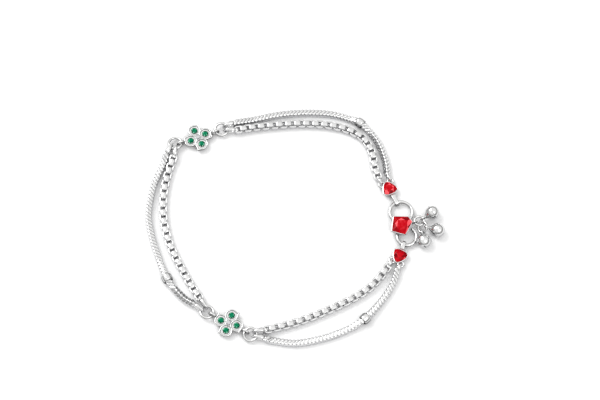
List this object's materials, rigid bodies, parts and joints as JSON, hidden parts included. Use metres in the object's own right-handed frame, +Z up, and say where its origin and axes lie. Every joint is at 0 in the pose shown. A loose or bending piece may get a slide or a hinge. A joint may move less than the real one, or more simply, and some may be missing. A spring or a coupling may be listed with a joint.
{
  "type": "payal anklet",
  "caption": "Closed ankle chain of paired snake and box strands between flower links with green stones, with an S hook, red stones and small bells.",
  "frame": {"origin": "centre of the bounding box in plan, on the surface that the anklet lies on", "axes": "+X along the loop's longer way, from the left strands towards the bells; +Y from the viewer's side to the far side; +Z up from the surface"},
  "size_m": [0.0962, 0.082, 0.0049],
  "materials": {
    "silver": "polished silver",
    "green_stone": "faceted",
    "red_stone": "faceted",
    "clear_stone": "faceted"
  },
  "bodies": {
    "root": {"bell_lower": "silver", "bell_right": "silver", "bell_upper": "silver", "bell_ring_1": "silver", "bell_ring_2": "silver", "box_strand_back": "silver", "box_strand_front": "silver", "box_strand_left": "silver", "snake_strand_back": "silver", "snake_strand_front": "silver", "snake_strand_left": "silver", "slider_bead_back": "silver", "slider_bead_front": "silver", "slider_bead_left": "silver", "end_setting_back": "silver", "end_setting_front": "silver", "flower_link_back": "silver", "flower_link_front": "silver", "s_hook": "silver", "jump_ring_back_left": "silver", "jump_ring_back_right": "silver", "jump_ring_front_left": "silver", "jump_ring_front_right": "silver", "green_stone_back_1": "green_stone", "green_stone_back_2": "green_stone", "green_stone_back_3": "green_stone", "green_stone_back_4": "green_stone", "green_stone_front_1": "green_stone", "green_stone_front_2": "green_stone", "green_stone_front_3": "green_stone", "green_stone_front_4": "green_stone", "clasp_stone": "red_stone", "end_stone_back": "red_stone", "end_stone_front": "red_stone", "centre_stone_back": "clear_stone", "centre_stone_front": "clear_stone"}
  },
  "joints": []
}
